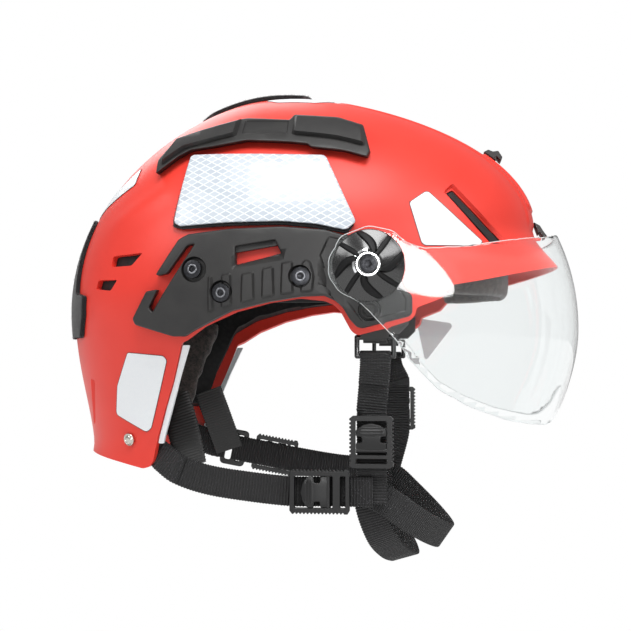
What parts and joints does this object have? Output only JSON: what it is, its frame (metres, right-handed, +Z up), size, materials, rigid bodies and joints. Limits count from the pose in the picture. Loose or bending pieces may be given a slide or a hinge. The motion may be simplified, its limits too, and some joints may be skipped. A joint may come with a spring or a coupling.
{
  "type": "rescue helmet",
  "caption": "Full-cut rescue helmet with a clear swing-up visor on tension knobs, side and top accessory rails, reflective panels and a harness of buckled webbing straps.",
  "frame": {"origin": "head seat: on the middle plane, at the lower edge of the headband, 162.5 mm behind the brim's tip", "axes": "+X forward through the visor, +Y to the wearer's left, +Z up through the crown"},
  "size_m": [0.3314, 0.2546, 0.3069],
  "materials": {
    "shell_red": "glossy moulded coral-red shell",
    "vent_mesh": "black woven mesh",
    "liner_foam": "dark foam liner with a cloth face",
    "pad_felt": "dark grey felted comfort pads",
    "band_plastic": "black moulded plastic",
    "rail_plastic": "dark grey-black satin plastic",
    "screw_steel": "blackened steel",
    "velcro": "black hook-and-loop tape",
    "reflective": "white reflective film with fine cells",
    "rivet_metal": "nickel-plated",
    "buckle_plastic": "black moulded plastic",
    "lever_plastic": "black moulded plastic",
    "visor_clear": "clear polycarbonate",
    "film_grey": "grey film sticker",
    "knob_plastic": "glossy black plastic",
    "ring_wire": "black coated wire",
    "webbing": "black ribbed webbing"
  },
  "bodies": {
    "helmet": {"shell": "shell_red", "vent_meshes": "vent_mesh", "liner": "liner_foam", "brow_pad": "pad_felt", "crown_pad": "pad_felt", "side_pad_right": "pad_felt", "side_pad_left": "pad_felt", "nape_pad_right": "pad_felt", "nape_pad_left": "pad_felt", "headband": "band_plastic", "size_dial_housing": "band_plastic", "side_rail_right": "rail_plastic", "side_rail_left": "rail_plastic", "rail_screws_right": "screw_steel", "rail_screws_left": "screw_steel", "top_rail_right": "rail_plastic", "top_rail_left": "rail_plastic", "side_velcro_right": "velcro", "side_velcro_left": "velcro", "side_reflector_right": "reflective", "side_reflector_left": "reflective", "crown_velcro": "velcro", "rear_velcro": "velcro", "crown_sticker": "reflective", "rear_top_stickers": "reflective", "front_side_stickers": "reflective", "rear_side_stickers": "reflective", "nape_edge_strips": "reflective", "nape_rivets": "rivet_metal", "front_hook_upper": "buckle_plastic", "front_hook_lower": "buckle_plastic", "pivot_screw_right": "screw_steel", "pivot_screw_left": "screw_steel", "strap_tab_right": "buckle_plastic", "strap_tab_left": "buckle_plastic", "strap_ring_right": "ring_wire", "strap_ring_left": "ring_wire", "front_strap_right": "webbing", "front_strap_left": "webbing", "front_buckle_right": "buckle_plastic", "front_buckle_left": "buckle_plastic", "rear_strap_right": "webbing", "rear_strap_left": "webbing", "rear_buckle_right": "buckle_plastic", "rear_buckle_left": "buckle_plastic", "triglide_left": "buckle_plastic", "chin_strap": "webbing", "under_chin_strap": "webbing"},
    "visor": {"visor": "visor_clear", "visor_film": "film_grey"},
    "knob_right": {"knob_right": "knob_plastic"},
    "knob_left": {"knob_left": "knob_plastic"},
    "size_dial": {"size_dial": "band_plastic"},
    "front_lever_right": {"front_lever_right": "lever_plastic"},
    "front_lever_left": {"front_lever_left": "lever_plastic"},
    "rear_lever_right": {"rear_lever_right": "lever_plastic"},
    "rear_lever_left": {"rear_lever_left": "lever_plastic"}
  },
  "joints": [
    {"name": "visor_swing", "type": "hinge", "parent": "helmet", "child": "visor", "pos_m": [0.0505, 0, 0.014], "axis": [0, -1, 0], "range_deg": [0, 80]},
    {"name": "knob_right_turn", "type": "hinge", "parent": "helmet", "child": "knob_right", "pos_m": [0.0505, 0, 0.014], "axis": [0, -1, 0], "range_deg": [0, 180]},
    {"name": "knob_left_turn", "type": "hinge", "parent": "helmet", "child": "knob_left", "pos_m": [0.0505, 0, 0.014], "axis": [0, 1, 0], "range_deg": [0, 180]},
    {"name": "size_dial_turn", "type": "hinge", "parent": "helmet", "child": "size_dial", "pos_m": [-0.1205, 0, -0.038], "axis": [-1, 0, 0], "range_deg": [-180, 180]},
    {"name": "front_lever_right_open", "type": "hinge", "parent": "helmet", "child": "front_lever_right", "pos_m": [0.0495, -0.0797, -0.0935], "axis": [1, 0, 0], "range_deg": [0, 70]},
    {"name": "front_lever_left_open", "type": "hinge", "parent": "helmet", "child": "front_lever_left", "pos_m": [0.059, 0.0797, -0.08], "axis": [-1, 0, 0], "range_deg": [0, 70]},
    {"name": "rear_lever_right_open", "type": "hinge", "parent": "helmet", "child": "rear_lever_right", "pos_m": [0.0235, -0.0793, -0.1185], "axis": [0, 0, 1], "range_deg": [0, 70]},
    {"name": "rear_lever_left_open", "type": "hinge", "parent": "helmet", "child": "rear_lever_left", "pos_m": [-0.02544, 0.0781, -0.11045], "axis": [-0.1898, -0.0199, -0.9816], "range_deg": [0, 70]}
  ]
}
